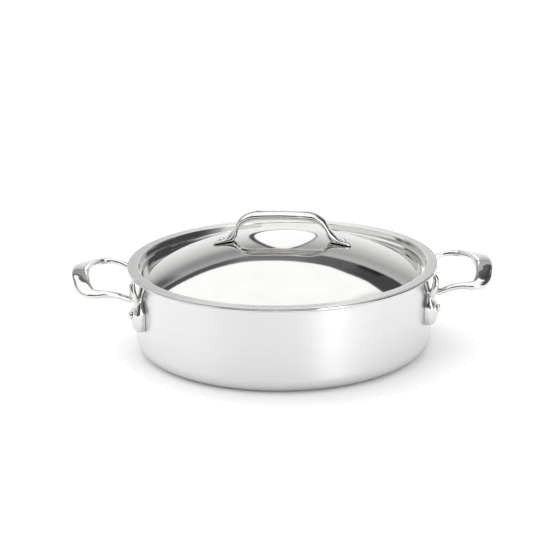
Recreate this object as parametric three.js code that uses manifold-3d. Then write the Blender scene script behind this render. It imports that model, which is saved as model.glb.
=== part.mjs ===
// A wide, shallow saute pan with a domed lid, in millimetres, +Z up.
// The origin is the centre of the base, on the surface the pan stands on; +X runs through the side handles.
import * as THREE from "three";
import { mergeVertices } from "three/addons/utils/BufferGeometryUtils.js";
import Module from "manifold-3d";

const wasm = await Module();
wasm.setup();

// ---- Driving dimensions -------------------------------------------------
const SEGMENTS = 48; // facets round every turned body

// Pan body: a bonded sheet of three layers, pressed to a straight-walled vessel.
const WALL_R = 144.2; // outside of the wall at the top
const WALL_DRAFT = 0.5; // degrees, the wall opens upwards
const CORNER_R = 15; // outside radius between base and wall
const LIP_R = 150; // edge of the pouring lip
const LIP_FILLET_R = 2.6; // hollow under the lip
const LIP_FILLET_Z = 78.2; // height of that hollow's centre
const LIP_SLOPE = 0.33; // degrees, the lip falls outwards
const SHEET = 2.8; // whole bonded sheet
const SKIN = 0.6; // stainless layer on each face
const BOND = 0.02; // bond line between layers

// Lid: one pressed stainless sheet with a flange, a recess and a dome.
const LID_TURN = -7.4; // degrees, how the loose lid happens to sit on the pan
const LID_SHEET = 0.9;
const LID_GAP = 0.3; // between flange and lip
const FLANGE_R = 150;
const FLANGE_FILLET_R = 1.1;
const RECESS_R = 139.5; // inside of the recess wall
const GROOVE_Z = 76.6; // floor of the groove round the dome
const GROOVE_R = 2.5; // radius between groove floor and recess wall
const DOME_R = 290; // sphere radius of the dome
const DOME_TOP = 107.8;
const DOME_FILLET_R = 5;

// Lid handle: a cast arch with a riveted tab at each end.
const LID_RIVET_X = 58.5;
const LID_RIVET_SHANK_R = 2.0;
const LID_RIVET_HEAD_R = 2.9;
const LID_RIVET_HEAD_H = 2.1;
const LID_RIVET_TAIL_R = 3.4;
const LID_RIVET_TAIL_H = 1.0;
const LID_TAB_TOP = 3.25; // top of the tab over the dome at the rivet

// Side handles: cast loops, each standing on a forked foot at either end.
const FOOT_ANGLE = 19.5; // degrees either side of the X axis
const FOOT_GAP = 0.3; // foot to wall
const FOOT_RIVET_Z = 49.5;
const FOOT_FACE_R = 154.3; // flat for the rivet head
const RIVET_SHANK_R = 2.7;
const RIVET_HOLE_R = 3.0;
const RIVET_HEAD_R = 3.8;
const RIVET_HEAD_H = 2.4;
const RIVET_TAIL_R = 4.6;
const RIVET_TAIL_H = 1.3;

// ---- Shape helpers ------------------------------------------------------
const RAD = Math.PI / 180;

// A closed solid from a geometry: only positions, shared vertices merged, collapsed faces dropped.
function solid(geometry) {
  const bare = geometry.index ? geometry.toNonIndexed() : geometry.clone();
  bare.deleteAttribute("normal");
  bare.deleteAttribute("uv");
  const merged = mergeVertices(bare, 1e-4);
  const old = merged.index.array,
    kept = [];
  for (let i = 0; i < old.length; i += 3) {
    const [a, b, c] = [old[i], old[i + 1], old[i + 2]];
    if (a !== b && b !== c && a !== c) kept.push(a, b, c);
  }
  return new wasm.Manifold(
    new wasm.Mesh({
      numProp: 3,
      vertProperties: merged.attributes.position.array,
      triVerts: new Uint32Array(kept),
    }),
  );
}

function geometryOf(made) {
  const m = made.getMesh();
  return new THREE.BufferGeometry()
    .setAttribute(
      "position",
      new THREE.BufferAttribute(new Float32Array(m.vertProperties), 3),
    )
    .setIndex(new THREE.BufferAttribute(new Uint32Array(m.triVerts), 1));
}

// A body turned about Z from a closed outline of [radius, height] points.
function turned(outline, segments = SEGMENTS) {
  let area = 0;
  outline.forEach(([r, z], i) => {
    const [r2, z2] = outline[(i + 1) % outline.length];
    area += r * z2 - r2 * z;
  });
  const ring = area > 0 ? [...outline] : [...outline].reverse();
  // Start on the axis where the outline touches it, and close it otherwise.
  const onAxis = ring.findIndex(
    ([r], i) => r === 0 && ring[(i + ring.length - 1) % ring.length][0] === 0,
  );
  const order =
    onAxis < 0
      ? [...ring, ring[0]]
      : [...ring.slice(onAxis), ...ring.slice(0, onAxis)];
  return new THREE.LatheGeometry(
    order.map(([r, z]) => new THREE.Vector2(r, z)),
    segments,
  ).rotateX(Math.PI / 2);
}

// A skin over rings of equal point counts, with a fan closing each end.
function lofted(rings) {
  const n = rings[0].length,
    position = [],
    index = [];
  rings.forEach((ring) => ring.forEach((p) => position.push(p.x, p.y, p.z)));
  for (let i = 0; i + 1 < rings.length; i++)
    for (let j = 0; j < n; j++) {
      const a = i * n + j,
        b = i * n + ((j + 1) % n);
      index.push(a, b, b + n, a, b + n, a + n);
    }
  [rings[0], rings[rings.length - 1]].forEach((ring, end) => {
    const centre = position.length / 3,
      base = end ? (rings.length - 1) * n : 0;
    const mid = ring
      .reduce((s, p) => s.add(p), new THREE.Vector3())
      .divideScalar(n);
    position.push(mid.x, mid.y, mid.z);
    for (let j = 0; j < n; j++) {
      const a = base + j,
        b = base + ((j + 1) % n);
      if (end) index.push(centre, a, b);
      else index.push(centre, b, a);
    }
  });
  const g = new THREE.BufferGeometry()
    .setAttribute("position", new THREE.Float32BufferAttribute(position, 3))
    .setIndex(index);
  // Turn the faces out where the rings ran the other way round.
  let volume = 0;
  const v = (k) => new THREE.Vector3().fromArray(position, 3 * k);
  for (let i = 0; i < index.length; i += 3)
    volume += v(index[i]).dot(v(index[i + 1]).cross(v(index[i + 2])));
  if (volume < 0)
    for (let i = 0; i < index.length; i += 3)
      [index[i + 1], index[i + 2]] = [index[i + 2], index[i + 1]];
  return g.setIndex(index);
}

// A cylinder between two heights, with its axis along Z.
function rod(radius, low, high, sides = 16) {
  return new THREE.CylinderGeometry(radius, radius, high - low, sides)
    .rotateX(Math.PI / 2)
    .translate(0, 0, (low + high) / 2);
}

// Points of a rounded section: half sizes a and b along two axes, power 2 an ellipse and more a squarer one.
function rounded(centre, axisA, a, axisB, b, power, count) {
  return Array.from({ length: count }, (_, i) => {
    const t = ((i + 0.5) / count) * 2 * Math.PI,
      c = Math.cos(t),
      s = Math.sin(t);
    return centre
      .clone()
      .addScaledVector(axisA, a * Math.sign(c) * Math.abs(c) ** (2 / power))
      .addScaledVector(axisB, b * Math.sign(s) * Math.abs(s) ** (2 / power));
  });
}

// Smooth values between rows of numbers, one curve through every row.
function smooth(rows, t) {
  const last = rows.length - 1,
    x = Math.min(Math.max(t, 0), 1) * last,
    i = Math.min(Math.floor(x), last - 1),
    f = x - i;
  return rows[0].map((_, k) => {
    const p1 = rows[i][k],
      p2 = rows[i + 1][k],
      p0 = i > 0 ? rows[i - 1][k] : 2 * p1 - p2,
      p3 = i + 2 <= last ? rows[i + 2][k] : 2 * p2 - p1;
    return (
      0.5 *
      (2 * p1 +
        (p2 - p0) * f +
        (2 * p0 - 5 * p1 + 4 * p2 - p3) * f * f +
        (3 * p1 - p0 - 3 * p2 + p3) * f * f * f)
    );
  });
}

function part(name, geometry, colour, roughness, metalness = 1) {
  const mesh = new THREE.Mesh(
    geometry,
    new THREE.MeshStandardMaterial({ color: colour, roughness, metalness }),
  );
  mesh.name = name;
  return mesh;
}

// ---- Pan body -----------------------------------------------------------
// The outside of the sheet from the base's centre to the lip's edge: [radius, height, inward normal].
function panPath() {
  const path = [];
  const draft = WALL_DRAFT * RAD,
    out = [Math.cos(draft), -Math.sin(draft)];
  const wallTop = [
    WALL_R - LIP_FILLET_R * (1 - Math.cos(draft)),
    LIP_FILLET_Z + LIP_FILLET_R * Math.sin(draft),
  ];
  const lip = [
    wallTop[0] + out[0] * LIP_FILLET_R,
    wallTop[1] + out[1] * LIP_FILLET_R,
  ];
  // The corner's centre stands CORNER_R inside the wall line, at height CORNER_R.
  const up = (wallTop[1] - (CORNER_R + CORNER_R * out[1])) / Math.cos(draft);
  const corner = [
    wallTop[0] - up * Math.sin(draft) - CORNER_R * out[0],
    CORNER_R,
  ];
  path.push([0, 0, 0, 1]);
  const cornerSteps = 4;
  for (let i = 0; i <= cornerSteps; i++) {
    const a = -Math.PI / 2 + ((Math.PI / 2 - draft) * i) / cornerSteps;
    path.push([
      corner[0] + CORNER_R * Math.cos(a),
      corner[1] + CORNER_R * Math.sin(a),
      -Math.cos(a),
      -Math.sin(a),
    ]);
  }
  const lipSteps = 3,
    from = Math.PI - draft,
    to = Math.PI / 2 - LIP_SLOPE * RAD;
  for (let i = 0; i <= lipSteps; i++) {
    const a = from + ((to - from) * i) / lipSteps;
    path.push([
      lip[0] + LIP_FILLET_R * Math.cos(a),
      lip[1] + LIP_FILLET_R * Math.sin(a),
      Math.cos(a),
      Math.sin(a),
    ]);
  }
  const end = path[path.length - 1],
    edge = LIP_R - SHEET * end[2],
    run = (edge - end[0]) / Math.cos(LIP_SLOPE * RAD);
  path.push([
    edge,
    end[1] - run * Math.sin(LIP_SLOPE * RAD),
    end[2],
    end[3],
  ]);
  return path;
}
const PAN = panPath();
const panSurface = (depth) =>
  PAN.map(([r, z, nr, nz]) => [r === 0 ? 0 : r + nr * depth, z + nz * depth]);
const layer = (near, far) =>
  turned([...panSurface(near), ...panSurface(far).reverse()]);

// Everything the pan and its lip fill, with the handles' clearance added, and the space above the lip.
function panEnvelope(gap) {
  const skin = panSurface(-gap);
  skin[0][0] = 0;
  const edge = LIP_R + gap;
  skin[skin.length - 1][0] = edge;
  return turned([...skin, [edge, 120], [0, 120]]);
}

// Places a body made along Z onto the wall: its Z axis points out along the foot's radius at height z.
const FEET = [
  { side: "right", end: "front", angle: -FOOT_ANGLE },
  { side: "right", end: "rear", angle: FOOT_ANGLE },
  { side: "left", end: "front", angle: 180 + FOOT_ANGLE },
  { side: "left", end: "rear", angle: 180 - FOOT_ANGLE },
];
const radial = (geometry, angle, z) =>
  geometry
    .rotateY(Math.PI / 2)
    .rotateZ(angle * RAD)
    .translate(0, 0, z);

const rivetHoles = FEET.map(({ angle }) =>
  solid(radial(rod(RIVET_HOLE_R, 130, 170), angle, FOOT_RIVET_Z)),
);
function drilled(geometry) {
  return geometryOf(
    rivetHoles.reduce((body, hole) => body.subtract(hole), solid(geometry)),
  );
}

// ---- Side handle --------------------------------------------------------
// Foot tongue from the toe up: height, half width, side height and crown height off the wall.
const TONGUE = [
  [32.8, 5.4, 1.4, 4.0],
  [33.6, 7.8, 2.1, 6.4],
  [35.6, 9.7, 2.7, 8.5],
  [39.5, 10.8, 3.0, 9.6],
  [44.5, 11.0, 3.0, 10.3],
  [48.0, 11.0, 3.0, 10.5],
  [50.8, 10.8, 3.0, 10.1],
  [53.5, 10.3, 2.9, 9.1],
  [56.5, 9.3, 2.7, 7.7],
  [59.5, 7.9, 2.5, 6.4],
  [62.5, 6.6, 2.3, 5.2],
  [65.0, 5.8, 2.0, 4.2],
];
// Outer prong of the fork: height, middle off the wall, half thickness, half width.
const PRONG = [
  [56.0, 4.0, 3.4, 5.0],
  [60.0, 4.4, 3.3, 6.2],
  [64.0, 5.6, 3.3, 7.0],
  [68.0, 7.0, 3.3, 6.9],
  [72.0, 7.8, 3.3, 6.2],
  [75.5, 8.2, 3.1, 5.2],
  [78.5, 7.9, 2.7, 4.0],
  [81.0, 7.1, 1.9, 2.9],
  [82.4, 6.7, 0.9, 2.0],
];
// Inner plate of the fork, laid round the wall up to the lip: the same columns.
const PLATE = [
  [58.0, 1.5, 1.5, 6.5],
  [62.0, 1.4, 1.5, 5.9],
  [66.0, 1.3, 1.4, 6.2],
  [70.0, 1.2, 1.3, 8.8],
  [74.0, 1.1, 1.25, 12.2],
  [78.0, 1.1, 1.25, 15.8],
  [80.6, 1.1, 1.2, 18.2],
];
// Loop stations from the foot to the middle of the grip:
// x, y, z of the middle line, half width, half thickness, bank in degrees (outer edge up).
const LOOP = [
  [145.0, 48.2, 63.4, 4.3, 2.8, 0],
  [152.0, 49.8, 66.5, 4.0, 2.8, -6],
  [159.0, 52.0, 69.5, 3.8, 2.8, -12],
  [168.0, 53.8, 71.5, 3.9, 3.0, -16],
  [177.0, 54.0, 71.4, 5.2, 3.5, -15],
  [184.6, 49.5, 71.9, 7.2, 3.8, -14],
  [189.7, 39.0, 73.6, 8.0, 3.9, -12],
  [192.6, 26.0, 75.9, 8.3, 3.7, -6],
  [194.6, 13.0, 78.0, 8.7, 3.3, 1],
  [195.2, 0.0, 78.3, 8.9, 3.0, 2],
];
// The grip's crest: height over the strap and half length.
const CREST = [0.8, 7.5];

// A tongue on the wall that forks upward into an outer prong and a flared plate under the lip.
function footBodies(angle) {
  const out = new THREE.Vector3(1, 0, 0),
    side = new THREE.Vector3(0, 1, 0);
  const steps = 10;
  const tongue = TONGUE.map(([z, half, low, crown]) => {
    const ring = [
      new THREE.Vector3(WALL_R - 4, -half, z),
      new THREE.Vector3(WALL_R - 4, half, z),
    ];
    for (let i = 0; i <= steps; i++) {
      const t = (Math.PI * i) / steps,
        c = Math.cos(t);
      ring.push(
        new THREE.Vector3(
          WALL_R + low + (crown - low) * Math.sin(t) ** 0.85,
          half * Math.sign(c) * Math.abs(c) ** 0.85,
          z,
        ),
      );
    }
    return ring;
  });
  const prong = PRONG.map(([z, middle, thick, half]) =>
    rounded(
      new THREE.Vector3(WALL_R + middle, 0, z),
      out,
      thick,
      side,
      half,
      2.6,
      12,
    ),
  );
  const plate = PLATE.map(([z, middle, thick, half]) =>
    rounded(new THREE.Vector3(middle, 0, z), out, thick, side, half, 4, 16).map(
      ({ x, y, z: h }) =>
        new THREE.Vector3(
          (WALL_R + x) * Math.cos(y / WALL_R),
          (WALL_R + x) * Math.sin(y / WALL_R),
          h,
        ),
    ),
  );
  return [tongue, prong, plate].map((rings) =>
    solid(lofted(rings).rotateZ(angle * RAD)),
  );
}

function loopGeometry() {
  const steps = 15,
    half = [];
  for (let i = 0; i <= steps; i++) half.push(smooth(LOOP, i / steps));
  const stations = [
    ...half,
    ...half
      .slice(0, -1)
      .reverse()
      .map(([x, y, z, w, t, b]) => [x, -y, z, w, t, b]),
  ];
  const at = (i) =>
    new THREE.Vector3(
      ...stations[Math.min(Math.max(i, 0), stations.length - 1)].slice(0, 3),
    );
  const up = new THREE.Vector3(0, 0, 1);
  return lofted(
    stations.map(([, , , w, t, bank], i) => {
      const along = at(i + 1)
        .sub(at(i - 1))
        .normalize();
      const level = new THREE.Vector3().crossVectors(up, along).normalize();
      const width = level
        .clone()
        .multiplyScalar(Math.cos(bank * RAD))
        .addScaledVector(up, Math.sin(bank * RAD));
      width.addScaledVector(along, -width.dot(along)).normalize();
      const thick = new THREE.Vector3().crossVectors(along, width);
      const y = at(i).y,
        power = 2.5 + 0.7 * Math.min(Math.max((54 - Math.abs(y)) / 20, 0), 1),
        lift = CREST[0] / (1 + (y / CREST[1]) ** 4);
      return rounded(at(i), width, w, thick, t, power, 12).map((p) =>
        p.addScaledVector(
          thick,
          (lift * Math.max(p.clone().sub(at(i)).dot(thick), 0)) / t,
        ),
      );
    }),
  );
}

function sideHandle(right) {
  let body = solid(loopGeometry());
  for (const angle of [-FOOT_ANGLE, FOOT_ANGLE])
    for (const piece of footBodies(angle)) body = body.add(piece);
  body = body.subtract(solid(panEnvelope(FOOT_GAP)));
  for (const angle of [-FOOT_ANGLE, FOOT_ANGLE]) {
    body = body.subtract(
      solid(radial(rod(RIVET_HOLE_R, 130, 170), angle, FOOT_RIVET_Z)),
    );
    body = body.subtract(
      solid(
        radial(rod(RIVET_HEAD_R + 0.5, FOOT_FACE_R, 170), angle, FOOT_RIVET_Z),
      ),
    );
  }
  const g = geometryOf(body);
  return right ? g : g.rotateZ(Math.PI);
}

// A rivet along Z: domed head over the foot's flat, shank, and a low head inside the pan.
function handleRivet() {
  const wall = WALL_R - (LIP_FILLET_Z - FOOT_RIVET_Z) * Math.tan(WALL_DRAFT * RAD);
  const head = FOOT_FACE_R + 0.3,
    tail = wall - SHEET - 0.4;
  return turned(
    [
      [0, tail - RIVET_TAIL_H],
      [RIVET_TAIL_R * 0.75, tail - RIVET_TAIL_H * 0.66],
      [RIVET_TAIL_R, tail],
      [RIVET_SHANK_R, tail],
      [RIVET_SHANK_R, head],
      [RIVET_HEAD_R, head],
      [RIVET_HEAD_R * 0.94, head + RIVET_HEAD_H * 0.5],
      [RIVET_HEAD_R * 0.6, head + RIVET_HEAD_H * 0.9],
      [0, head + RIVET_HEAD_H],
    ],
    14,
  );
}

// ---- Lid ----------------------------------------------------------------
// The top of the lid sheet from the middle of the dome to the flange's edge: [radius, height, downward normal].
function lidPath() {
  const path = [];
  const domeZ = DOME_TOP - DOME_R;
  const floor = GROOVE_Z + DOME_FILLET_R;
  const filletR = Math.sqrt(
    (DOME_R + DOME_FILLET_R) ** 2 - (floor - domeZ) ** 2,
  );
  const domeEnd = Math.asin(filletR / (DOME_R + DOME_FILLET_R));
  const domeSteps = 6;
  for (let i = 0; i <= domeSteps; i++) {
    const a = (domeEnd * i) / domeSteps;
    path.push([
      DOME_R * Math.sin(a),
      domeZ + DOME_R * Math.cos(a),
      -Math.sin(a),
      -Math.cos(a),
    ]);
  }
  // Hollow from the dome onto the groove floor.
  for (let i = 1; i <= 1; i++) {
    const a = domeEnd * (1 - i);
    path.push([
      filletR - DOME_FILLET_R * Math.sin(a),
      floor - DOME_FILLET_R * Math.cos(a),
      -Math.sin(a),
      -Math.cos(a),
    ]);
  }
  // Hollow from the groove floor up the recess wall.
  for (let i = 0; i <= 2; i++) {
    const a = ((Math.PI / 2) * i) / 2;
    path.push([
      RECESS_R - GROOVE_R + GROOVE_R * Math.sin(a),
      GROOVE_Z + GROOVE_R - GROOVE_R * Math.cos(a),
      Math.sin(a),
      -Math.cos(a),
    ]);
  }
  // The flange runs parallel to the lip, LID_GAP above it.
  const lipTop = panSurface(SHEET),
    slope = Math.tan(LIP_SLOPE * RAD),
    lift = (LID_GAP + LID_SHEET) / Math.cos(LIP_SLOPE * RAD);
  const [lipR, lipZ] = lipTop[lipTop.length - 1];
  const flangeZ = (r) => lipZ + lift - slope * (r - lipR);
  const bend = RECESS_R + FLANGE_FILLET_R;
  const bendZ = flangeZ(bend) - FLANGE_FILLET_R / Math.cos(LIP_SLOPE * RAD);
  for (let i = 0; i <= 2; i++) {
    const a = Math.PI + ((-Math.PI / 2 - LIP_SLOPE * RAD) * i) / 2;
    path.push([
      bend + FLANGE_FILLET_R * Math.cos(a),
      bendZ + FLANGE_FILLET_R * Math.sin(a),
      -Math.cos(a),
      -Math.sin(a),
    ]);
  }
  const last = path[path.length - 1];
  path.push([FLANGE_R, flangeZ(FLANGE_R), last[2], last[3]]);
  return path;
}
const LID = lidPath();
const lidSurface = (depth) =>
  LID.map(([r, z, nr, nz]) => [r === 0 ? 0 : r + nr * depth, z + nz * depth]);

// Puts a body made along Z onto the dome at x, its Z axis square to the dome.
function onDome(geometry, side) {
  const lean = Math.asin(LID_RIVET_X / DOME_R);
  return geometry
    .translate(0, 0, DOME_R)
    .rotateY(side * lean)
    .translate(0, 0, DOME_TOP - DOME_R);
}

// Lid handle outline from a tab's tip to the middle of the arch:
// outer x, z, inner x, z, half width.
const ARCH = [
  [66.9, 101.7, 66.7, 100.45, 3.0],
  [65.2, 103.3, 64.6, 100.85, 4.9],
  [58.9, 105.2, 58.4, 102.1, 6.1],
  [55.0, 107.3, 51.8, 103.3, 6.4],
  [51.8, 110.6, 46.7, 104.3, 6.4],
  [49.0, 113.8, 43.9, 108.4, 6.4],
  [46.9, 117.0, 42.6, 113.4, 6.4],
  [45.0, 120.6, 40.7, 117.0, 6.5],
  [40.9, 126.7, 36.4, 121.0, 6.9],
  [32.6, 131.8, 29.6, 123.9, 7.6],
  [21.0, 134.0, 19.9, 125.4, 8.3],
  [0.0, 134.8, 0.0, 125.8, 8.6],
];

function lidHandle() {
  const steps = 20,
    half = [];
  for (let i = 0; i <= steps; i++) half.push(smooth(ARCH, i / steps));
  const stations = [
    ...half,
    ...half
      .slice(0, -1)
      .reverse()
      .map(([ox, oz, ix, iz, w]) => [-ox, oz, -ix, iz, w]),
  ];
  const across = new THREE.Vector3(0, 1, 0);
  const rings = stations.map(([ox, oz, ix, iz, w]) => {
    const outer = new THREE.Vector3(ox, 0, oz),
      inner = new THREE.Vector3(ix, 0, iz);
    const centre = outer.clone().add(inner).multiplyScalar(0.5),
      thick = outer.clone().sub(inner),
      t = thick.length() / 2;
    const power = 3 - 0.8 * Math.min(Math.max((oz - 105) / 12, 0), 1);
    return rounded(centre, thick.normalize(), t, across, w, power, 12);
  });
  let body = solid(lofted(rings));
  for (const side of [-1, 1]) {
    body = body.subtract(
      solid(onDome(rod(LID_RIVET_SHANK_R + 0.3, -5, 8), side)),
    );
    body = body.subtract(
      solid(onDome(rod(LID_RIVET_HEAD_R + 0.4, LID_TAB_TOP - 0.3, 12), side)),
    );
  }
  return geometryOf(body);
}

function lidRivet(side) {
  const head = LID_TAB_TOP,
    tail = -LID_SHEET - 0.3;
  return onDome(
    turned(
      [
        [0, tail - LID_RIVET_TAIL_H],
        [LID_RIVET_TAIL_R * 0.65, tail - LID_RIVET_TAIL_H * 0.8],
        [LID_RIVET_TAIL_R, tail],
        [LID_RIVET_SHANK_R, tail],
        [LID_RIVET_SHANK_R, head],
        [LID_RIVET_HEAD_R, head],
        [LID_RIVET_HEAD_R * 0.95, head + LID_RIVET_HEAD_H * 0.5],
        [LID_RIVET_HEAD_R * 0.6, head + LID_RIVET_HEAD_H * 0.9],
        [0, head + LID_RIVET_HEAD_H],
      ],
      14,
    ),
    side,
  );
}

function lidShell() {
  let body = solid(turned([...lidSurface(0), ...lidSurface(LID_SHEET).reverse()]));
  for (const side of [-1, 1])
    body = body.subtract(
      solid(onDome(rod(LID_RIVET_SHANK_R + 0.3, -8, 8), side)),
    );
  return geometryOf(body);
}

// ---- Assembly -----------------------------------------------------------
const STEEL = 0xc9c9c6,
  POLISHED = 0xd4d4d1,
  ALUMINIUM = 0xb9bbbd;

const pan = new THREE.Group();
pan.add(
  part("pan_outer_ply", drilled(layer(0, SKIN)), STEEL, 0.32),
  part(
    "pan_core_ply",
    drilled(layer(SKIN + BOND, SHEET - SKIN - BOND)),
    ALUMINIUM,
    0.45,
  ),
  part("pan_inner_ply", drilled(layer(SHEET - SKIN, SHEET)), STEEL, 0.3),
  part("side_handle_right", sideHandle(true), POLISHED, 0.12),
  part("side_handle_left", sideHandle(false), POLISHED, 0.12),
);
for (const { side, end, angle } of FEET)
  pan.add(
    part(
      `handle_rivet_${side}_${end}`,
      radial(handleRivet(), angle, FOOT_RIVET_Z),
      POLISHED,
      0.18,
    ),
  );

const lid = new THREE.Group();
lid.rotation.z = LID_TURN * RAD;
lid.add(
  part("lid_shell", lidShell(), POLISHED, 0.06),
  part("lid_handle", lidHandle(), POLISHED, 0.1),
  part("lid_rivet_right", lidRivet(1), POLISHED, 0.16),
  part("lid_rivet_left", lidRivet(-1), POLISHED, 0.16),
);

const sautePan = new THREE.Group();
sautePan.add(pan, lid);

export default sautePan;
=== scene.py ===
import math

import bmesh
import bpy
import numpy as np
from mathutils import Matrix, Vector


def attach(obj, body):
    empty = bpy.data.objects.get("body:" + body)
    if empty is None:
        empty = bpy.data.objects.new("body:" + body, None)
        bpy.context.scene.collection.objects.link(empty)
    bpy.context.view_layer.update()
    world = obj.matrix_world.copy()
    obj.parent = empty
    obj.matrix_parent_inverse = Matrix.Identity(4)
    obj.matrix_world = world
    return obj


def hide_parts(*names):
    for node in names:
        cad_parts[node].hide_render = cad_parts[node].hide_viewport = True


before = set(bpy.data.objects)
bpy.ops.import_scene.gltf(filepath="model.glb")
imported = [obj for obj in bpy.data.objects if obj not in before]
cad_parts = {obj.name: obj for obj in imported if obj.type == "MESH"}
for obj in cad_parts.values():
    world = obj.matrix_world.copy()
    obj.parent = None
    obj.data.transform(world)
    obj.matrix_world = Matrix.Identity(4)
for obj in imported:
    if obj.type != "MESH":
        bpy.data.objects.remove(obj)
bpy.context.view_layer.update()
MM = 0.001
RAD = math.pi / 180
SCENE = bpy.context.scene

# ---- Dimensions in millimetres, the same as the solids' ------------------
SEGMENTS = 288

WALL_R = 144.2
WALL_DRAFT = 0.5
CORNER_R = 15
LIP_R = 150
LIP_FILLET_R = 2.6
LIP_FILLET_Z = 78.2
LIP_SLOPE = 0.33
SHEET = 2.8
SKIN = 0.6
BOND = 0.02

LID_TURN = -7.4
LID_SHEET = 0.9
LID_GAP = 0.3
FLANGE_R = 150
FLANGE_FILLET_R = 1.1
RECESS_R = 139.5
GROOVE_Z = 76.6
GROOVE_R = 2.5
DOME_R = 290
DOME_TOP = 107.8
DOME_FILLET_R = 5

LID_RIVET_X = 58.5
LID_RIVET_SHANK_R = 2.0
LID_RIVET_HEAD_R = 2.9
LID_RIVET_HEAD_H = 2.1
LID_RIVET_TAIL_R = 3.4
LID_RIVET_TAIL_H = 1.0
LID_TAB_TOP = 3.25

FOOT_ANGLE = 19.5
FOOT_GAP = 0.3
FOOT_RIVET_Z = 49.5
FOOT_FACE_R = 154.3
RIVET_SHANK_R = 2.7
RIVET_HOLE_R = 3.0
RIVET_HEAD_R = 3.8
RIVET_HEAD_H = 2.4
RIVET_TAIL_R = 4.6
RIVET_TAIL_H = 1.3

# Foot tongue from the toe up: height, half width, side height and crown height off the wall.
TONGUE = [
    [32.8, 5.4, 1.4, 4.0], [33.6, 7.8, 2.1, 6.4], [35.6, 9.7, 2.7, 8.5], [39.5, 10.8, 3.0, 9.6],
    [44.5, 11.0, 3.0, 10.3], [48.0, 11.0, 3.0, 10.5], [50.8, 10.8, 3.0, 10.1], [53.5, 10.3, 2.9, 9.1],
    [56.5, 9.3, 2.7, 7.7], [59.5, 7.9, 2.5, 6.4], [62.5, 6.6, 2.3, 5.2], [65.0, 5.8, 2.0, 4.2],
]
# Outer prong of the fork: height, middle off the wall, half thickness, half width.
PRONG = [
    [56.0, 4.0, 3.4, 5.0], [60.0, 4.4, 3.3, 6.2], [64.0, 5.6, 3.3, 7.0], [68.0, 7.0, 3.3, 6.9],
    [72.0, 7.8, 3.3, 6.2], [75.5, 8.2, 3.1, 5.2], [78.5, 7.9, 2.7, 4.0], [81.0, 7.1, 1.9, 2.9],
    [82.4, 6.7, 0.9, 2.0],
]
# Inner plate of the fork, laid round the wall up to the lip: the same columns.
PLATE = [
    [58.0, 1.5, 1.5, 6.5], [62.0, 1.4, 1.5, 5.9], [66.0, 1.3, 1.4, 6.2], [70.0, 1.2, 1.3, 8.8],
    [74.0, 1.1, 1.25, 12.2], [78.0, 1.1, 1.25, 15.8], [80.6, 1.1, 1.2, 18.2],
]
# Loop stations from the foot to the middle of the grip:
# x, y, z of the middle line, half width, half thickness, bank in degrees (outer edge up).
LOOP = [
    [145.0, 48.2, 63.4, 4.3, 2.8, 0], [152.0, 49.8, 66.5, 4.0, 2.8, -6], [159.0, 52.0, 69.5, 3.8, 2.8, -12],
    [168.0, 53.8, 71.5, 3.9, 3.0, -16], [177.0, 54.0, 71.4, 5.2, 3.5, -15], [184.6, 49.5, 71.9, 7.2, 3.8, -14],
    [189.7, 39.0, 73.6, 8.0, 3.9, -12], [192.6, 26.0, 75.9, 8.3, 3.7, -6], [194.6, 13.0, 78.0, 8.7, 3.3, 1],
    [195.2, 0.0, 78.3, 8.9, 3.0, 2],
]
# The grip's crest: height over the strap and half length.
CREST = (0.8, 7.5)
# Lid handle outline from a tab's tip to the middle of the arch: outer x, z, inner x, z, half width.
ARCH = [
    [66.9, 101.7, 66.7, 100.45, 3.0], [65.2, 103.3, 64.6, 100.85, 4.9], [58.9, 105.2, 58.4, 102.1, 6.1],
    [55.0, 107.3, 51.8, 103.3, 6.4], [51.8, 110.6, 46.7, 104.3, 6.4], [49.0, 113.8, 43.9, 108.4, 6.4],
    [46.9, 117.0, 42.6, 113.4, 6.4], [45.0, 120.6, 40.7, 117.0, 6.5], [40.9, 126.7, 36.4, 121.0, 6.9],
    [32.6, 131.8, 29.6, 123.9, 7.6], [21.0, 134.0, 19.9, 125.4, 8.3], [0.0, 134.8, 0.0, 125.8, 8.6],
]


# ---- Mesh helpers --------------------------------------------------------
def make(name, verts, faces):
    """A new object from points in millimetres, with its faces turned out."""
    mesh = bpy.data.meshes.new(name)
    mesh.from_pydata([Vector(v) * MM for v in verts], [], faces)
    bm = bmesh.new()
    bm.from_mesh(mesh)
    bmesh.ops.remove_doubles(bm, verts=bm.verts, dist=1e-8)
    bmesh.ops.recalc_face_normals(bm, faces=bm.faces)
    bm.to_mesh(mesh)
    bm.free()
    obj = bpy.data.objects.new(name, mesh)
    SCENE.collection.objects.link(obj)
    return obj


def lathe(name, outline, segments=SEGMENTS):
    """A body turned about Z from a closed outline of (radius, height) points."""
    verts, rings = [], []
    for r, z in outline:
        if r < 1e-6:
            rings.append([len(verts)])
            verts.append((0.0, 0.0, z))
        else:
            rings.append(list(range(len(verts), len(verts) + segments)))
            for i in range(segments):
                a = 2 * math.pi * i / segments
                verts.append((r * math.cos(a), r * math.sin(a), z))
    faces = []
    for k in range(len(rings)):
        p, q = rings[k], rings[(k + 1) % len(rings)]
        if len(p) == 1 and len(q) == 1:
            continue
        for i in range(segments):
            j = (i + 1) % segments
            if len(p) == 1:
                faces.append((p[0], q[i], q[j]))
            elif len(q) == 1:
                faces.append((p[i], q[0], p[j]))
            else:
                faces.append((p[i], q[i], q[j], p[j]))
    return make(name, verts, faces)


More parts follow.
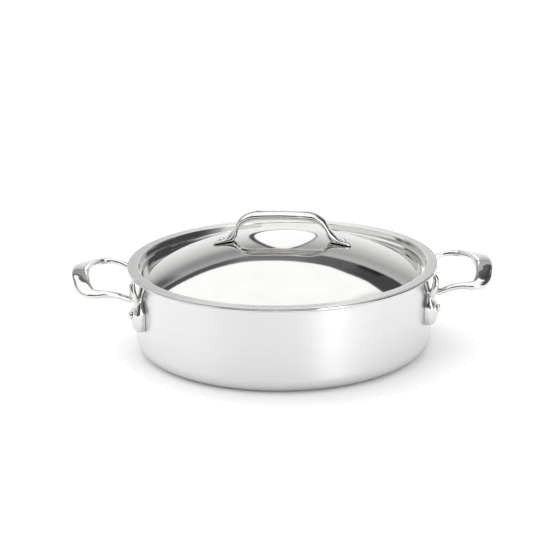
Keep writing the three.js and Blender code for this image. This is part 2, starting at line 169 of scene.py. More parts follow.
def loft(name, rings, cap=0.0):
    """A skin over rings of points. With a cap, each end closes as a round nose that deep."""
    rings = [np.array(r, float) for r in rings]
    if cap:
        def nose(end, inner):
            way = end.mean(0) - inner.mean(0)
            way /= np.linalg.norm(way)
            mid = end.mean(0)
            return [
                mid + (end - mid) * math.cos(t) ** 0.8 + way * cap * math.sin(t)
                for t in (0.35, 0.7, 1.0, 1.25, 1.42)
            ]
        rings = nose(rings[0], rings[1])[::-1] + rings + nose(rings[-1], rings[-2])
    n = len(rings[0])
    verts = [tuple(p) for r in rings for p in r]
    faces = []
    for k in range(len(rings) - 1):
        for i in range(n):
            j = (i + 1) % n
            faces.append((k * n + i, k * n + j, (k + 1) * n + j, (k + 1) * n + i))
    for base in (0, (len(rings) - 1) * n):
        mid = len(verts)
        verts.append(tuple(np.mean(verts[base : base + n], axis=0)))
        faces += [(mid, base + i, base + (i + 1) % n) for i in range(n)]
    return make(name, verts, faces)


def smooth_rows(rows, t):
    """Values between rows of numbers, on one smooth curve through every row."""
    last = len(rows) - 1
    x = min(max(t, 0.0), 1.0) * last
    i = min(int(x), last - 1)
    f = x - i
    p1, p2 = np.array(rows[i], float), np.array(rows[i + 1], float)
    p0 = np.array(rows[i - 1], float) if i > 0 else 2 * p1 - p2
    p3 = np.array(rows[i + 2], float) if i + 2 <= last else 2 * p2 - p1
    return 0.5 * (
        2 * p1 + (p2 - p0) * f + (2 * p0 - 5 * p1 + 4 * p2 - p3) * f**2 + (3 * p1 - p0 - 3 * p2 + p3) * f**3
    )


def rounded(centre, axis_a, a, axis_b, b, power, count):
    """Points of a rounded section: half sizes a and b along two axes."""
    ring = []
    for i in range(count):
        t = (i + 0.5) / count * 2 * math.pi
        c, s = math.cos(t), math.sin(t)
        ring.append(
            centre
            + axis_a * (a * math.copysign(abs(c) ** (2 / power), c))
            + axis_b * (b * math.copysign(abs(s) ** (2 / power), s))
        )
    return ring


def applied(obj):
    """Turns the object's modifiers into mesh."""
    dg = bpy.context.evaluated_depsgraph_get()
    mesh = bpy.data.meshes.new_from_object(obj.evaluated_get(dg))
    obj.modifiers.clear()
    old, obj.data = obj.data, mesh
    bpy.data.meshes.remove(old)
    return obj


def cut(obj, *tools, keep=False):
    """Takes each tool's space away from the object."""
    for tool in tools:
        m = obj.modifiers.new("cut", "BOOLEAN")
        m.operation, m.solver, m.object = "DIFFERENCE", "EXACT", tool
        applied(obj)
        if not keep:
            mesh = tool.data
            bpy.data.objects.remove(tool)
            bpy.data.meshes.remove(mesh)
    return obj


def joined(name, *objs):
    """One object holding every given object's faces."""
    bm = bmesh.new()
    for o in objs:
        bm.from_mesh(o.data)
    mesh = bpy.data.meshes.new(name)
    bm.to_mesh(mesh)
    bm.free()
    for o in objs:
        old = o.data
        bpy.data.objects.remove(o)
        bpy.data.meshes.remove(old)
    obj = bpy.data.objects.new(name, mesh)
    SCENE.collection.objects.link(obj)
    return obj


def remeshed(obj, size, rounds):
    """An even skin over everything the object encloses, smoothed a little."""
    m = obj.modifiers.new("even", "REMESH")
    m.mode, m.voxel_size, m.adaptivity = "VOXEL", size * MM, 0.0
    applied(obj)
    if rounds:
        m = obj.modifiers.new("ease", "SMOOTH")
        m.factor, m.iterations = 0.5, rounds
        applied(obj)
    return obj


def shaded(obj, angle=32):
    """Smooth shading with edges kept where the surface turns sharply."""
    obj.data.polygons.foreach_set("use_smooth", [True] * len(obj.data.polygons))
    obj.data.set_sharp_from_angle(angle=angle * RAD)
    return obj


def moved(obj, matrix):
    obj.data.transform(matrix)
    return obj


def mm(x, y, z):
    return Matrix.Translation((x * MM, y * MM, z * MM))


def turn(axis, degrees):
    return Matrix.Rotation(degrees * RAD, 4, axis)


def rod(radius, low, high, sides=64):
    return lathe("tool", [(0, low), (radius, low), (radius, high), (0, high)], sides)


def outlined(points, corners):
    """A closed outline with the named corners rounded: {index: radius}."""
    out = []
    n = len(points)
    for i, p in enumerate(points):
        if i not in corners:
            out.append(tuple(p))
            continue
        p = np.array(p, float)
        a, b = np.array(points[i - 1], float) - p, np.array(points[(i + 1) % n], float) - p
        la, lb = np.linalg.norm(a), np.linalg.norm(b)
        a, b = a / la, b / lb
        half = math.acos(max(-1, min(1, float(a @ b)))) / 2
        reach = min(corners[i] / math.tan(half), la * 0.49, lb * 0.49)
        r = reach * math.tan(half)
        middle = p + (a + b) / np.linalg.norm(a + b) * (r / math.sin(half))
        p0, p1 = p + a * reach - middle, p + b * reach - middle
        t0, t1 = math.atan2(p0[1], p0[0]), math.atan2(p1[1], p1[0])
        d = (t1 - t0 + math.pi) % (2 * math.pi) - math.pi
        for k in range(7):
            t = t0 + d * k / 6
            out.append((middle[0] + r * math.cos(t), middle[1] + r * math.sin(t)))
    return out


# ---- Pan body ------------------------------------------------------------
def pan_path():
    """The outside of the sheet from the base's centre to the lip's edge: radius, height, inward normal."""
    path = []
    draft = WALL_DRAFT * RAD
    out = (math.cos(draft), -math.sin(draft))
    wall_top = (WALL_R - LIP_FILLET_R * (1 - math.cos(draft)), LIP_FILLET_Z + LIP_FILLET_R * math.sin(draft))
    lip = (wall_top[0] + out[0] * LIP_FILLET_R, wall_top[1] + out[1] * LIP_FILLET_R)
    up = (wall_top[1] - (CORNER_R + CORNER_R * out[1])) / math.cos(draft)
    corner = (wall_top[0] - up * math.sin(draft) - CORNER_R * out[0], CORNER_R)
    for r in (0, 4, 12, 24, 40, 56, 72, 88, 104, 118):
        path.append((r, 0.0, 0.0, 1.0))
    steps = 18
    for i in range(steps + 1):
        a = -math.pi / 2 + (math.pi / 2 - draft) * i / steps
        path.append((
            corner[0] + CORNER_R * math.cos(a), corner[1] + CORNER_R * math.sin(a), -math.cos(a), -math.sin(a)
        ))
    foot = path[-1]
    start, end = math.pi - draft, math.pi / 2 - LIP_SLOPE * RAD
    top = (lip[0] + LIP_FILLET_R * math.cos(start), lip[1] + LIP_FILLET_R * math.sin(start))
    for i in range(1, 24):
        f = i / 24
        path.append((foot[0] + (top[0] - foot[0]) * f, foot[1] + (top[1] - foot[1]) * f, foot[2], foot[3]))
    for i in range(13):
        a = start + (end - start) * i / 12
        path.append((
            lip[0] + LIP_FILLET_R * math.cos(a), lip[1] + LIP_FILLET_R * math.sin(a), math.cos(a), math.sin(a)
        ))
    last = path[-1]
    edge = LIP_R - SHEET * last[2]
    run = (edge - last[0]) / math.cos(LIP_SLOPE * RAD)
    path.append((edge, last[1] - run * math.sin(LIP_SLOPE * RAD), last[2], last[3]))
    return path


PAN = pan_path()


def pan_surface(depth):
    return [((0.0 if r == 0 else r + nr * depth), z + nz * depth) for r, z, nr, nz in PAN]


def layer(name, near, shade_behind):
    """One layer of the sheet. The three edges together make the lip's full round."""
    r, z, nr, nz = PAN[-2]
    out = (nz, -nr)
    half = SHEET / 2
    reach = (LIP_R - r - half * nr) / nz
    edge = []
    for k in range(13):
        d = near + (shade_behind - near) * k / 12
        run = reach - half + math.sqrt(max(half**2 - (d - half) ** 2, 0.0))
        edge.append((r + nr * d + out[0] * run, z + nz * d + out[1] * run))
    return lathe(name, pan_surface(near)[:-1] + edge + pan_surface(shade_behind)[:-1][::-1])


def pan_envelope(gap):
    """Everything the pan and its lip fill, with the handles' clearance, and the space above the lip."""
    skin = pan_surface(-gap)
    edge = LIP_R + gap
    skin[-1] = (edge, skin[-1][1])
    return lathe("tool", skin + [(edge, 120), (0, 120)])


FEET = [
    ("right", "front", -FOOT_ANGLE),
    ("right", "rear", FOOT_ANGLE),
    ("left", "front", 180 + FOOT_ANGLE),
    ("left", "rear", 180 - FOOT_ANGLE),
]


def radial(obj, angle, z):
    """Lays a body made along Z onto the wall, pointing out along the foot's radius."""
    return moved(obj, mm(0, 0, z) @ turn("Z", angle) @ turn("Y", 90))


def drilled(obj):
    return cut(obj, *[radial(rod(RIVET_HOLE_R, 130, 170), a, FOOT_RIVET_Z) for _, _, a in FEET])


# ---- Side handle ---------------------------------------------------------
def foot(angle):
    """A tongue on the wall that forks upward into an outer prong and a flared plate under the lip."""
    out, side = np.array([1.0, 0, 0]), np.array([0, 1.0, 0])
    tongue, prong, plate = [], [], []
    for k in range(61):
        z, half, low, crown = smooth_rows(TONGUE, k / 60)
        ring = [(WALL_R - 4, -half, z), (WALL_R - 4, half, z)]
        for i in range(41):
            t = math.pi * i / 40
            c = math.cos(t)
            ring.append((
                WALL_R + low + (crown - low) * math.sin(t) ** 0.85,
                half * math.copysign(abs(c) ** 0.85, c),
                z,
            ))
        tongue.append(ring)
        z, middle, thick, half = smooth_rows(PRONG, k / 60)
        prong.append(rounded(np.array([WALL_R + middle, 0, z]), out, thick, side, half, 2.6, 48))
        z, middle, thick, half = smooth_rows(PLATE, k / 60)
        plate.append([
            ((WALL_R + x) * math.cos(y / WALL_R), (WALL_R + x) * math.sin(y / WALL_R), h)
            for x, y, h in rounded(np.array([middle, 0, z]), out, thick, side, half, 4.0, 72)
        ])
    return [moved(loft("foot", rings), turn("Z", angle)) for rings in (tongue, prong, plate)]


def loop():
    steps = 90
    half = [smooth_rows(LOOP, i / steps) for i in range(steps + 1)]
    stations = half + [np.array([x, -y, z, w, t, b]) for x, y, z, w, t, b in half[:-1][::-1]]
    at = lambda i: stations[min(max(i, 0), len(stations) - 1)][:3]
    up = np.array([0.0, 0.0, 1.0])
    rings = []
    for i, (_, _, _, w, t, bank) in enumerate(stations):
        along = at(i + 1) - at(i - 1)
        along /= np.linalg.norm(along)
        level = np.cross(up, along)
        level /= np.linalg.norm(level)
        width = level * math.cos(bank * RAD) + up * math.sin(bank * RAD)
        width -= along * (width @ along)
        width /= np.linalg.norm(width)
        face = np.cross(along, width)
        power = 2.5 + 0.7 * min(max((54 - abs(at(i)[1])) / 20, 0.0), 1.0)
        lift = CREST[0] / (1 + (at(i)[1] / CREST[1]) ** 4)
        rings.append([
            p + face * (lift * max((p - at(i)) @ face, 0.0) / t) for p in rounded(at(i), width, w, face, t, power, 48)
        ])
    return loft("loop", rings)


def side_handle(name):
    body = joined(name, loop(), *foot(-FOOT_ANGLE), *foot(FOOT_ANGLE))
    remeshed(body, 0.42, 10)
    cut(body, pan_envelope(FOOT_GAP))
    for a in (-FOOT_ANGLE, FOOT_ANGLE):
        cut(
            body,
            radial(rod(RIVET_HOLE_R, 130, 170), a, FOOT_RIVET_Z),
            radial(rod(RIVET_HEAD_R + 0.5, FOOT_FACE_R, 170), a, FOOT_RIVET_Z),
        )
    return shaded(body, 40)


def handle_rivet(name, angle):
    wall = WALL_R - (LIP_FILLET_Z - FOOT_RIVET_Z) * math.tan(WALL_DRAFT * RAD)
    head, tail = FOOT_FACE_R + 0.3, wall - SHEET - 0.4
    outline = [(0, tail - RIVET_TAIL_H)]
    for k in range(1, 11):
        t = math.pi / 2 * k / 10
        outline.append((RIVET_TAIL_R * math.sin(t), tail - RIVET_TAIL_H * math.cos(t)))
    outline += [(RIVET_SHANK_R, tail), (RIVET_SHANK_R, head)]
    for k in range(15):
        t = math.pi / 2 * k / 14
        outline.append((
            RIVET_HEAD_R * math.cos(t) ** 0.75 if k < 14 else 0.0, head + RIVET_HEAD_H * math.sin(t)
        ))
    return shaded(radial(lathe(name, outline, 56), angle, FOOT_RIVET_Z), 40)


# ---- Lid -----------------------------------------------------------------
def lid_path():
    """The top of the lid sheet from the middle of the dome to the flange's edge: radius, height, downward normal."""
    path = []
    dome_z = DOME_TOP - DOME_R
    floor = GROOVE_Z + DOME_FILLET_R
    fillet_r = math.sqrt((DOME_R + DOME_FILLET_R) ** 2 - (floor - dome_z) ** 2)
    dome_end = math.asin(fillet_r / (DOME_R + DOME_FILLET_R))
    steps = 64
    for i in range(steps + 1):
        a = dome_end * i / steps
        path.append((DOME_R * math.sin(a), dome_z + DOME_R * math.cos(a), -math.sin(a), -math.cos(a)))
    for i in range(1, 7):
        a = dome_end * (1 - i / 6)
        path.append((
            fillet_r - DOME_FILLET_R * math.sin(a), floor - DOME_FILLET_R * math.cos(a), -math.sin(a), -math.cos(a)
        ))
    for i in range(11):
        a = math.pi / 2 * i / 10
        path.append((
            RECESS_R - GROOVE_R + GROOVE_R * math.sin(a),
            GROOVE_Z + GROOVE_R - GROOVE_R * math.cos(a),
            math.sin(a),
            -math.cos(a),
        ))
    lip_r, lip_z = pan_surface(SHEET)[-1]
    slope = math.tan(LIP_SLOPE * RAD)
    lift = (LID_GAP + LID_SHEET) / math.cos(LIP_SLOPE * RAD)
    flange_z = lambda r: lip_z + lift - slope * (r - lip_r)
    bend = RECESS_R + FLANGE_FILLET_R
    bend_z = flange_z(bend) - FLANGE_FILLET_R / math.cos(LIP_SLOPE * RAD)
    for i in range(11):
        a = math.pi + (-math.pi / 2 - LIP_SLOPE * RAD) * i / 10
        path.append((
            bend + FLANGE_FILLET_R * math.cos(a), bend_z + FLANGE_FILLET_R * math.sin(a), -math.cos(a), -math.sin(a)
        ))
    last = path[-1]
    for r in (last[0] + 0.1, last[0] + 0.6, (last[0] + FLANGE_R) / 2, FLANGE_R - 0.9, FLANGE_R):
        path.append((r, flange_z(r), last[2], last[3]))
    return path


LID = lid_path()


def lid_surface(depth):
    return [((0.0 if r < 1e-9 else r + nr * depth), z + nz * depth) for r, z, nr, nz in LID]


def on_dome(obj, side):
    """Puts a body made along Z onto the dome at the rivet's place, square to the dome."""
    lean = math.degrees(math.asin(LID_RIVET_X / DOME_R))
    return moved(obj, mm(0, 0, DOME_TOP - DOME_R) @ turn("Y", side * lean) @ mm(0, 0, DOME_R))


def lid_shell():
    top, under = lid_surface(0), lid_surface(LID_SHEET)[::-1]
    n = len(top)
    body = lathe("lid_shell_sheet", outlined(top + under, {n - 1: 0.38, n: 0.38}))
    cut(body, *[on_dome(rod(LID_RIVET_SHANK_R + 0.3, -8, 8), s) for s in (-1, 1)])
    return shaded(moved(body, turn("Z", LID_TURN)), 30)


def lid_handle():
    steps = 110
    half = [smooth_rows(ARCH, i / steps) for i in range(steps + 1)]
    stations = half + [np.array([-ox, oz, -ix, iz, w]) for ox, oz, ix, iz, w in half[:-1][::-1]]
    across = np.array([0.0, 1.0, 0.0])
    rings = []
    for ox, oz, ix, iz, w in stations:
        outer, inner = np.array([ox, 0, oz]), np.array([ix, 0, iz])
        thick = outer - inner
        t = np.linalg.norm(thick) / 2
        power = 3.0 - 0.8 * min(max((oz - 105) / 12, 0.0), 1.0)
        rings.append(rounded((outer + inner) / 2, thick / (2 * t), t, across, w, power, 56))
    body = loft("lid_arch", rings, cap=0.8)
    for s in (-1, 1):
        cut(
            body,
            on_dome(rod(LID_RIVET_SHANK_R + 0.3, -5, 8), s),
            on_dome(rod(LID_RIVET_HEAD_R + 0.4, LID_TAB_TOP - 0.3, 12), s),
        )
    return shaded(moved(body, turn("Z", LID_TURN)), 40)


def lid_rivet(name, side):
    head, tail = LID_TAB_TOP, -LID_SHEET - 0.3
    outline = [(0, tail - LID_RIVET_TAIL_H)]
    for k in range(1, 11):
        t = math.pi / 2 * k / 10
        outline.append((LID_RIVET_TAIL_R * math.sin(t), tail - LID_RIVET_TAIL_H * math.cos(t)))
    outline += [(LID_RIVET_SHANK_R, tail), (LID_RIVET_SHANK_R, head)]
    for k in range(15):
        t = math.pi / 2 * k / 14
        outline.append((
            LID_RIVET_HEAD_R * math.cos(t) ** 0.75 if k < 14 else 0.0, head + LID_RIVET_HEAD_H * math.sin(t)
        ))
    return shaded(moved(on_dome(lathe(name, outline, 56), side), turn("Z", LID_TURN)), 40)


# ---- Node helpers --------------------------------------------------------
class Graph:
    """Short ways to add nodes to one tree and link them."""

    def __init__(self, tree):
        self.tree = tree
        tree.nodes.clear()

    def new(self, kind, **settings):
        n = self.tree.nodes.new(kind)
        for k, v in settings.items():
            setattr(n, k, v)
        return n

    def put(self, socket, value):
        if isinstance(value, bpy.types.NodeSocket):
            self.tree.links.new(value, socket)
        else:
            socket.default_value = value

    def math(self, op, a, b=None, c=None, clamp=False):
        n = self.new("ShaderNodeMath", operation=op, use_clamp=clamp)
        for i, v in enumerate((a, b, c)):
            if v is not None:
                self.put(n.inputs[i], v)
        return n.outputs[0]

    def span(self, value, low, high, to_low=0.0, to_high=1.0, kind="SMOOTHSTEP"):
        n = self.new("ShaderNodeMapRange", interpolation_type=kind, clamp=True)
        for i, v in enumerate((value, low, high, to_low, to_high)):
            self.put(n.inputs[i], v)
        return n.outputs[0]

    def mix(self, factor, a, b):
        n = self.new("ShaderNodeMix", data_type="FLOAT")
        self.put(n.inputs[0], factor)
        self.put(n.inputs[2], a)
        self.put(n.inputs[3], b)
        return n.outputs[0]

    def tint(self, factor, a, b):
        n = self.new("ShaderNodeMix", data_type="RGBA")
        self.put(n.inputs[0], factor)
        self.put(n.inputs[6], a)
        self.put(n.inputs[7], b)
        return n.outputs[2]

    def xyz(self, x, y, z):
        n = self.new("ShaderNodeCombineXYZ")
        for i, v in enumerate((x, y, z)):
            self.put(n.inputs[i], v)
        return n.outputs[0]

    def noise(self, vector, scale, detail=2.0, rough=0.5):
        n = self.new("ShaderNodeTexNoise", noise_dimensions="3D")
        self.put(n.inputs["Vector"], vector)
        n.inputs["Scale"].default_value = scale
        n.inputs["Detail"].default_value = detail
        n.inputs["Roughness"].default_value = rough
        return n.outputs[0]


def round_coordinates(g):
    """Unit direction about Z, and the way along the sheet's section in millimetres."""
    where = g.new("ShaderNodeTexCoord").outputs["Object"]
    split = g.new("ShaderNodeSeparateXYZ")
    g.put(split.inputs[0], where)
    x, y, z = split.outputs
    r = g.math("MAXIMUM", g.math("SQRT", g.math("ADD", g.math("MULTIPLY", x, x), g.math("MULTIPLY", y, y))), 1e-4)
    return where, g.math("DIVIDE", x, r), g.math("DIVIDE", y, r), g.math("MULTIPLY", g.math("ADD", r, z), 1000.0), r


def brushed(name, colour, roughness, spread, grain, lines, streak=3.0, height=0.012):
    """Satin steel with fine lines running round the axis, polished at the lip."""
    material = bpy.data.materials.new(name)
    material.use_nodes = True
    g = Graph(material.node_tree)
    where, cx, cy, s, r = round_coordinates(g)
    hair = g.noise(
        g.xyz(g.math("MULTIPLY", cx, streak), g.math("MULTIPLY", cy, streak), g.math("MULTIPLY", s, lines)), 1.0, 4.0, 0.62
    )
    band = g.noise(
        g.xyz(g.math("MULTIPLY", cx, streak * 0.4), g.math("MULTIPLY", cy, streak * 0.4), g.math("MULTIPLY", s, lines * 0.09)),
        1.0, 2.0, 0.5,
    )
    cloud = g.noise(where, 22.0, 3.0, 0.55)
    rough = g.math("ADD", roughness, g.math("MULTIPLY", g.math("SUBTRACT", hair, 0.5), grain))
    rough = g.math("ADD", rough, g.math("MULTIPLY", g.math("SUBTRACT", cloud, 0.5), grain * 0.35))
    rough = g.mix(g.span(r, 145.2 * MM, 146.4 * MM), rough, g.math("MULTIPLY", rough, 0.14))
    tone = g.math("ADD", g.math("MULTIPLY", hair, 0.7), g.math("MULTIPLY", band, 0.3))
    dark = tuple(c * (1 - spread) for c in colour) + (1.0,)
    light = tuple(min(1.0, c * (1 + spread)) for c in colour) + (1.0,)
    bump = g.new("ShaderNodeBump")
    bump.inputs["Strength"].default_value = 0.35
    bump.inputs["Distance"].default_value = height * MM
    g.put(bump.inputs["Height"], hair)
    tangent = g.new("ShaderNodeTangent", direction_type="RADIAL", axis="Z")
    p = g.new("ShaderNodeBsdfPrincipled")
    p.inputs["Metallic"].default_value = 1.0
    p.inputs["Anisotropic"].default_value = 0.65
    p.inputs["Anisotropic Rotation"].default_value = 0.25
    g.put(p.inputs["Base Color"], g.tint(g.span(tone, 0.25, 0.75, kind="LINEAR"), dark, light))
    g.put(p.inputs["Roughness"], rough)
    g.put(p.inputs["Normal"], bump.outputs[0])
    g.put(p.inputs["Tangent"], tangent.outputs[0])
    g.put(g.new("ShaderNodeOutputMaterial").inputs[0], p.outputs[0])
    return material


def polished(name, colour, roughness, wave, wave_scale, hairs=0.0, rim=None):
    """Mirror polished steel: slow waves from the polishing wheel, faint hairlines and thin wipe marks."""
    material = bpy.data.materials.new(name)
    material.use_nodes = True
    g = Graph(material.node_tree)
    where, cx, cy, s, r = round_coordinates(g)
    wavy = g.noise(where, wave_scale, 1.0, 0.4)
    haze = g.noise(where, 34.0, 4.0, 0.6)
    fine = g.noise(where, 900.0, 2.0, 0.5)
    hair = g.noise(g.xyz(g.math("MULTIPLY", cx, 2.2), g.math("MULTIPLY", cy, 2.2), g.math("MULTIPLY", s, 5.0)), 1.0, 3.0, 0.6)
    rough = g.math("ADD", roughness, g.math("MULTIPLY", g.math("SUBTRACT", haze, 0.45), roughness * 0.9))
    rough = g.math("ADD", rough, g.math("MULTIPLY", g.math("SUBTRACT", fine, 0.5), roughness * 0.3))
    if rim:  # a satin rim beyond this radius
        satin = g.math("ADD", rim[1], g.math("MULTIPLY", g.math("SUBTRACT", hair, 0.5), rim[1] * 0.3))
        rough = g.mix(g.span(r, (rim[0] - 0.3) * MM, (rim[0] + 0.3) * MM), rough, satin)
    dark = tuple(c * 0.965 for c in colour) + (1.0,)
    light = tuple(min(1.0, c * 1.02) for c in colour) + (1.0,)
    first = g.new("ShaderNodeBump")
    first.inputs["Strength"].default_value = 1.0
    first.inputs["Distance"].default_value = wave * MM
    g.put(first.inputs["Height"], wavy)
    normal = first.outputs[0]
    if hairs:
        second = g.new("ShaderNodeBump")
        second.inputs["Strength"].default_value = 0.5
        second.inputs["Distance"].default_value = hairs * MM
        g.put(second.inputs["Height"], hair)
        g.put(second.inputs["Normal"], normal)
        normal = second.outputs[0]
    p = g.new("ShaderNodeBsdfPrincipled")
    p.inputs["Metallic"].default_value = 1.0
    g.put(p.inputs["Base Color"], g.tint(g.span(haze, 0.3, 0.7, kind="LINEAR"), dark, light))
    g.put(p.inputs["Roughness"], g.math("MAXIMUM", rough, 0.01))
    g.put(p.inputs["Normal"], normal)
    g.put(g.new("ShaderNodeOutputMaterial").inputs[0], p.outputs[0])
    return material


def floor_paper():
    material = bpy.data.materials.new("floor_paper")
    material.use_nodes = True
    g = Graph(material.node_tree)
    where = g.new("ShaderNodeTexCoord").outputs["Object"]
    split = g.new("ShaderNodeSeparateXYZ")
    g.put(split.inputs[0], where)
    # The paper's colour darkens from 0.16 m to 0.5 m behind the pan: painted shade, standing in for less light
    # reaching the back of the floor.
    shade_behind = g.span(split.outputs[1], 0.16, 0.5)
    p = g.new("ShaderNodeBsdfPrincipled")
    p.inputs["Roughness"].default_value = 0.85
    p.inputs["Specular IOR Level"].default_value = 0.1
    near = g.tint(g.noise(where, 6.0, 3.0), (0.885, 0.885, 0.885, 1), (0.9, 0.9, 0.9, 1))
    g.put(p.inputs["Base Color"], g.tint(shade_behind, near, (0.68, 0.68, 0.68, 1)))
    g.put(g.new("ShaderNodeOutputMaterial").inputs[0], p.outputs[0])
    return material


# ---- Camera --------------------------------------------------------------
def camera():
    az, el, roll = -1.9 * RAD, 18.2 * RAD, -0.79 * RAD
    focal, aim = 1634.6, (2.92, 21.89)
    target, distance = Vector((0, 0, 0.042)), 1.6
    back = Vector((math.sin(az) * math.cos(el), -math.cos(az) * math.cos(el), math.sin(el)))
    right = Vector((math.cos(az), math.sin(az), 0))
    up = back.cross(right)
    right, up = right * math.cos(roll) + up * math.sin(roll), up * math.cos(roll) - right * math.sin(roll)
    forward = (-back - right * (aim[0] / focal) + up * (aim[1] / focal)).normalized()
    up = (up - forward * up.dot(forward)).normalized()
    right = forward.cross(up)
    data = bpy.data.cameras.new("camera")
    data.sensor_fit, data.sensor_width, data.lens = "HORIZONTAL", 36.0, focal / 560 * 36.0
    data.clip_start, data.clip_end = 0.05, 200
    obj = bpy.data.objects.new("camera", data)
    SCENE.collection.objects.link(obj)
    obj.matrix_world = Matrix((
        (right.x, up.x, -forward.x, 0),
        (right.y, up.y, -forward.y, 0),
        (right.z, up.z, -forward.z, 0),
        (0, 0, 0, 1),
    ))
    obj.location = target + back * distance
    SCENE.camera = obj


# ---- Studio --------------------------------------------------------------
def studio():
    world = bpy.data.worlds.new("studio")
    SCENE.world = world
    world.use_nodes = True
    g = Graph(world.node_tree)
    way = g.new("ShaderNodeTexCoord").outputs["Generated"]
    split = g.new("ShaderNodeSeparateXYZ")
    g.put(split.inputs[0], way)
    x, y, z = split.outputs
    el = g.math("MULTIPLY", g.math("ARCSINE", z), 180 / math.pi)
    az = g.math("MULTIPLY", g.math("ARCTAN2", x, y), 180 / math.pi)  # 0 behind the pan, 90 to its right

    def ramp(value, low, high, stops):
        """A level that runs straight between stops of value."""
        n = g.new("ShaderNodeValToRGB")
        n.color_ramp.interpolation = "LINEAR"
        e = n.color_ramp.elements
        while len(e) > 1:
            e.remove(e[-1])
        for k, (at, level) in enumerate(stops):
            at = (at - low) / (high - low)
            stop = e[0] if k == 0 else e.new(at)
            stop.position = at
            stop.color = (level, level, level, 1)
        g.put(n.inputs[0], g.span(value, low, high, kind="LINEAR"))
        return n.outputs[0]

    def patch(level, value, mid, half, low, high, soft_az, soft_el, el=el):
        """Sets a region of the surroundings: centre azimuth, half width, lowest and highest elevation."""
        off = g.math("ABSOLUTE", g.math("WRAP", g.math("SUBTRACT", az, mid), 180.0, -180.0))
        inside = g.span(off, half - soft_az, half + soft_az, 1.0, 0.0)
        inside = g.math("MULTIPLY", inside, g.span(el, low - soft_el, low + soft_el))
        inside = g.math("MULTIPLY", inside, g.span(el, high - soft_el, high + soft_el, 1.0, 0.0))
        return g.mix(inside, level, value)

    # Backdrop: light at the table, greyer upward, a dark gap that bows up in the middle, then the overhead light.
    bow = g.math("MAXIMUM", g.math("SUBTRACT", 1.0, g.math("POWER", g.math("DIVIDE", g.math("ABSOLUTE", az), 28.0), 2.0)), 0.0)
    up = g.math("SUBTRACT", el, g.math("MULTIPLY", bow, 3.1))
    base = [(-90, 1.28), (0, 1.28), (6, 1.19), (10, 1.11), (14, 0.99), (16, 0.9)]
    left = ramp(up, -90, 90, base + [
        (18, 0.8), (20, 0.66), (22, 0.5), (24, 0.48), (26, 0.5), (28.5, 0.65), (30.5, 0.65), (90, 0.65),
    ])
    right = ramp(up, -90, 90, base + [
        (18, 0.84), (20, 0.78), (22, 0.69), (24, 0.66), (26, 0.7), (28.5, 0.8), (30.5, 0.8), (90, 0.8),
    ])
    behind = g.mix(g.span(az, -9.0, 6.0), left, right)
    behind = patch(behind, 0.2, -29.0, 7.0, 24.0, 29.6, 2.5, 1.5)
    # A tall oval panel with a dark frame stands on the middle of the backdrop.
    def oval(mid, half, centre, reach):
        across = g.math("DIVIDE", g.math("SUBTRACT", az, mid), half)
        along = g.math("DIVIDE", g.math("SUBTRACT", el, centre), reach)
        return g.math("SQRT", g.math("ADD", g.math("MULTIPLY", across, across), g.math("MULTIPLY", along, along)))

    behind = g.mix(g.span(oval(2.05, 4.7, 16.4, 14.5), 0.98, 1.02, 1.0, 0.0), behind, 0.11)
    behind = g.mix(g.span(oval(2.3, 4.2, 15.9, 13.3), 0.98, 1.02, 1.0, 0.0), behind, 1.7)
    gap = ramp(az, -180, 180, [
        (-180, 0.1), (-27, 0.12), (-12.6, 0.15), (-7.4, 0.32), (0, 0.31), (6.3, 0.3), (12.6, 0.2), (19, 0.18),
        (23, 0.1), (33, 0.1), (180, 0.1),
    ])
    gap = patch(gap, 0.04, 23.3, 3.2, 30.0, 34.3, 0.4, 0.4)
    behind = g.mix(g.span(up, 30.0, 30.4), behind, gap)
    top = ramp(az, -180, 180, [
        (-180, 0.34), (-16, 0.34), (-8.5, 0.347), (-1, 0.367), (6.3, 0.377), (15, 0.385), (21, 0.403), (27.5, 0.412),
        (33, 0.419), (180, 0.42),
    ])
    behind = g.mix(g.span(g.math("SUBTRACT", up, g.math("MULTIPLY", top, 100.0)), -0.3, 0.3), behind, 1.8)
    # Sides, and the dim room on the viewer's side under the overhead light.
    sides = ramp(el, -90, 90, [(-90, 1.28), (0, 1.28), (15, 1.1), (28, 1.2), (36, 1.75), (90, 1.8)])
    before = ramp(el, -90, 90, [(-90, 1.28), (-2, 1.28), (1, 0.5), (6, 0.12), (50, 0.08), (54, 2.5), (90, 1.9)])
    level = g.mix(g.span(g.math("ABSOLUTE", az), 40.0, 62.0), behind, sides)
    off = g.math("ABSOLUTE", g.math("WRAP", g.math("SUBTRACT", az, 194.5), 180.0, -180.0))
    level = g.mix(g.span(off, 36.5, 40.5, 1.0, 0.0), level, before)
    level = patch(level, 0.14, 74.0, 37.0, 8.0, 54.0, 5.0, 7.0)
    level = patch(level, 4.2, 145.0, 10.0, -5.0, 45.0, 2.0, 2.0)
    level = patch(level, 0.66, -92.0, 30.0, 9.0, 34.0, 8.0, 4.0)
    level = patch(level, 1.2, -173.0, 2.2, 6.0, 30.0, 1.0, 4.0)
    soft = g.new("ShaderNodeLightPath").outputs["Is Diffuse Ray"]
    lean = g.math("ADD", g.math("SUBTRACT", 1.0, g.math("MULTIPLY", x, 0.45)), g.math("MULTIPLY", y, 0.6))
    overhead = g.math("ADD", 1.05, g.math("MULTIPLY", g.math("MAXIMUM", z, 0.0), 1.2))
    level = g.mix(soft, level, g.math("MULTIPLY", overhead, lean))
    sky = g.new("ShaderNodeBackground")
    g.put(sky.inputs["Strength"], level)
    g.put(g.new("ShaderNodeOutputWorld").inputs[0], sky.outputs[0])

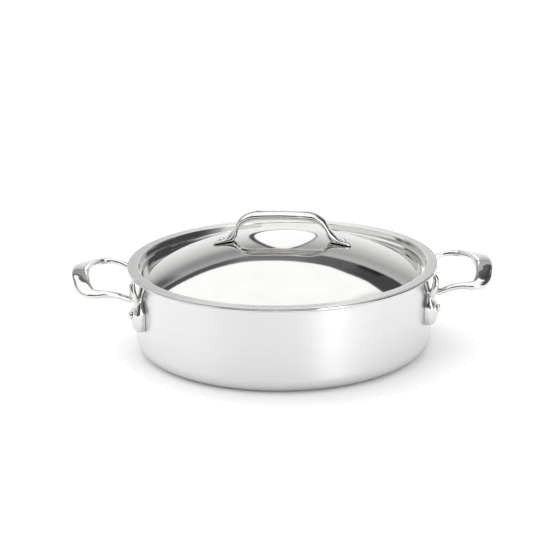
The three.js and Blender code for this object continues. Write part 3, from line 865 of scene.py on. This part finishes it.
    floor = make("floor", [(-3e4, -3e4, -0.15), (3e4, -3e4, -0.15), (3e4, 3e4, -0.15), (-3e4, 3e4, -0.15)], [(0, 1, 2, 3)])
    floor.data.materials.append(floor_paper())
    SCENE.view_settings.view_transform = "Standard"
    SCENE.view_settings.look = "None"
    SCENE.view_settings.exposure = 0.0
    SCENE.view_settings.gamma = 1.0


# ---- Assembly ------------------------------------------------------------
camera()
studio()

SATIN = brushed("satin_steel_outside", (0.73, 0.73, 0.73), 0.36, 0.035, 0.09, 3.4)
SATIN_INSIDE = brushed("satin_steel_inside", (0.68, 0.675, 0.665), 0.34, 0.06, 0.14, 2.6)
CORE = brushed("core_aluminium_rolled", (0.66, 0.665, 0.67), 0.42, 0.06, 0.12, 9.0)
MIRROR = polished("lid_mirror_steel", (0.675, 0.67, 0.66), 0.05, 0.0012, 26.0, hairs=0.0004, rim=(140.6, 0.27))
CAST = polished("cast_polished_steel", (0.675, 0.67, 0.66), 0.055, 0.006, 60.0)


def place(obj, body, material, slot, *nodes):
    obj.data.materials.clear()
    obj.data.materials.append(material)
    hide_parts(*nodes)
    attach(obj, body)


place(shaded(drilled(layer("pan_outside_steel", 0, SKIN)), 30), "pan", SATIN, "satin_steel", "pan_outer_ply")
place(
    shaded(drilled(layer("pan_aluminium_core", SKIN + BOND, SHEET - SKIN - BOND)), 30),
    "pan", CORE, "core_aluminium", "pan_core_ply",
)
place(
    shaded(drilled(layer("pan_inside_steel", SHEET - SKIN, SHEET)), 30),
    "pan", SATIN_INSIDE, "satin_steel", "pan_inner_ply",
)

right = side_handle("side_loop_right")
left = bpy.data.objects.new("side_loop_left", right.data.copy())
SCENE.collection.objects.link(left)
moved(left, turn("Z", 180))
place(right, "pan", CAST, "polished_steel", "side_handle_right")
place(left, "pan", CAST, "polished_steel", "side_handle_left")
for side, end, angle in FEET:
    place(
        handle_rivet(f"loop_rivet_{side}_{end}", angle), "pan", CAST, "polished_steel", f"handle_rivet_{side}_{end}"
    )

place(lid_shell(), "lid", MIRROR, "lid_steel", "lid_shell")
place(lid_handle(), "lid", CAST, "polished_steel", "lid_handle")
place(lid_rivet("lid_pin_right", 1), "lid", CAST, "polished_steel", "lid_rivet_right")
place(lid_rivet("lid_pin_left", -1), "lid", CAST, "polished_steel", "lid_rivet_left")
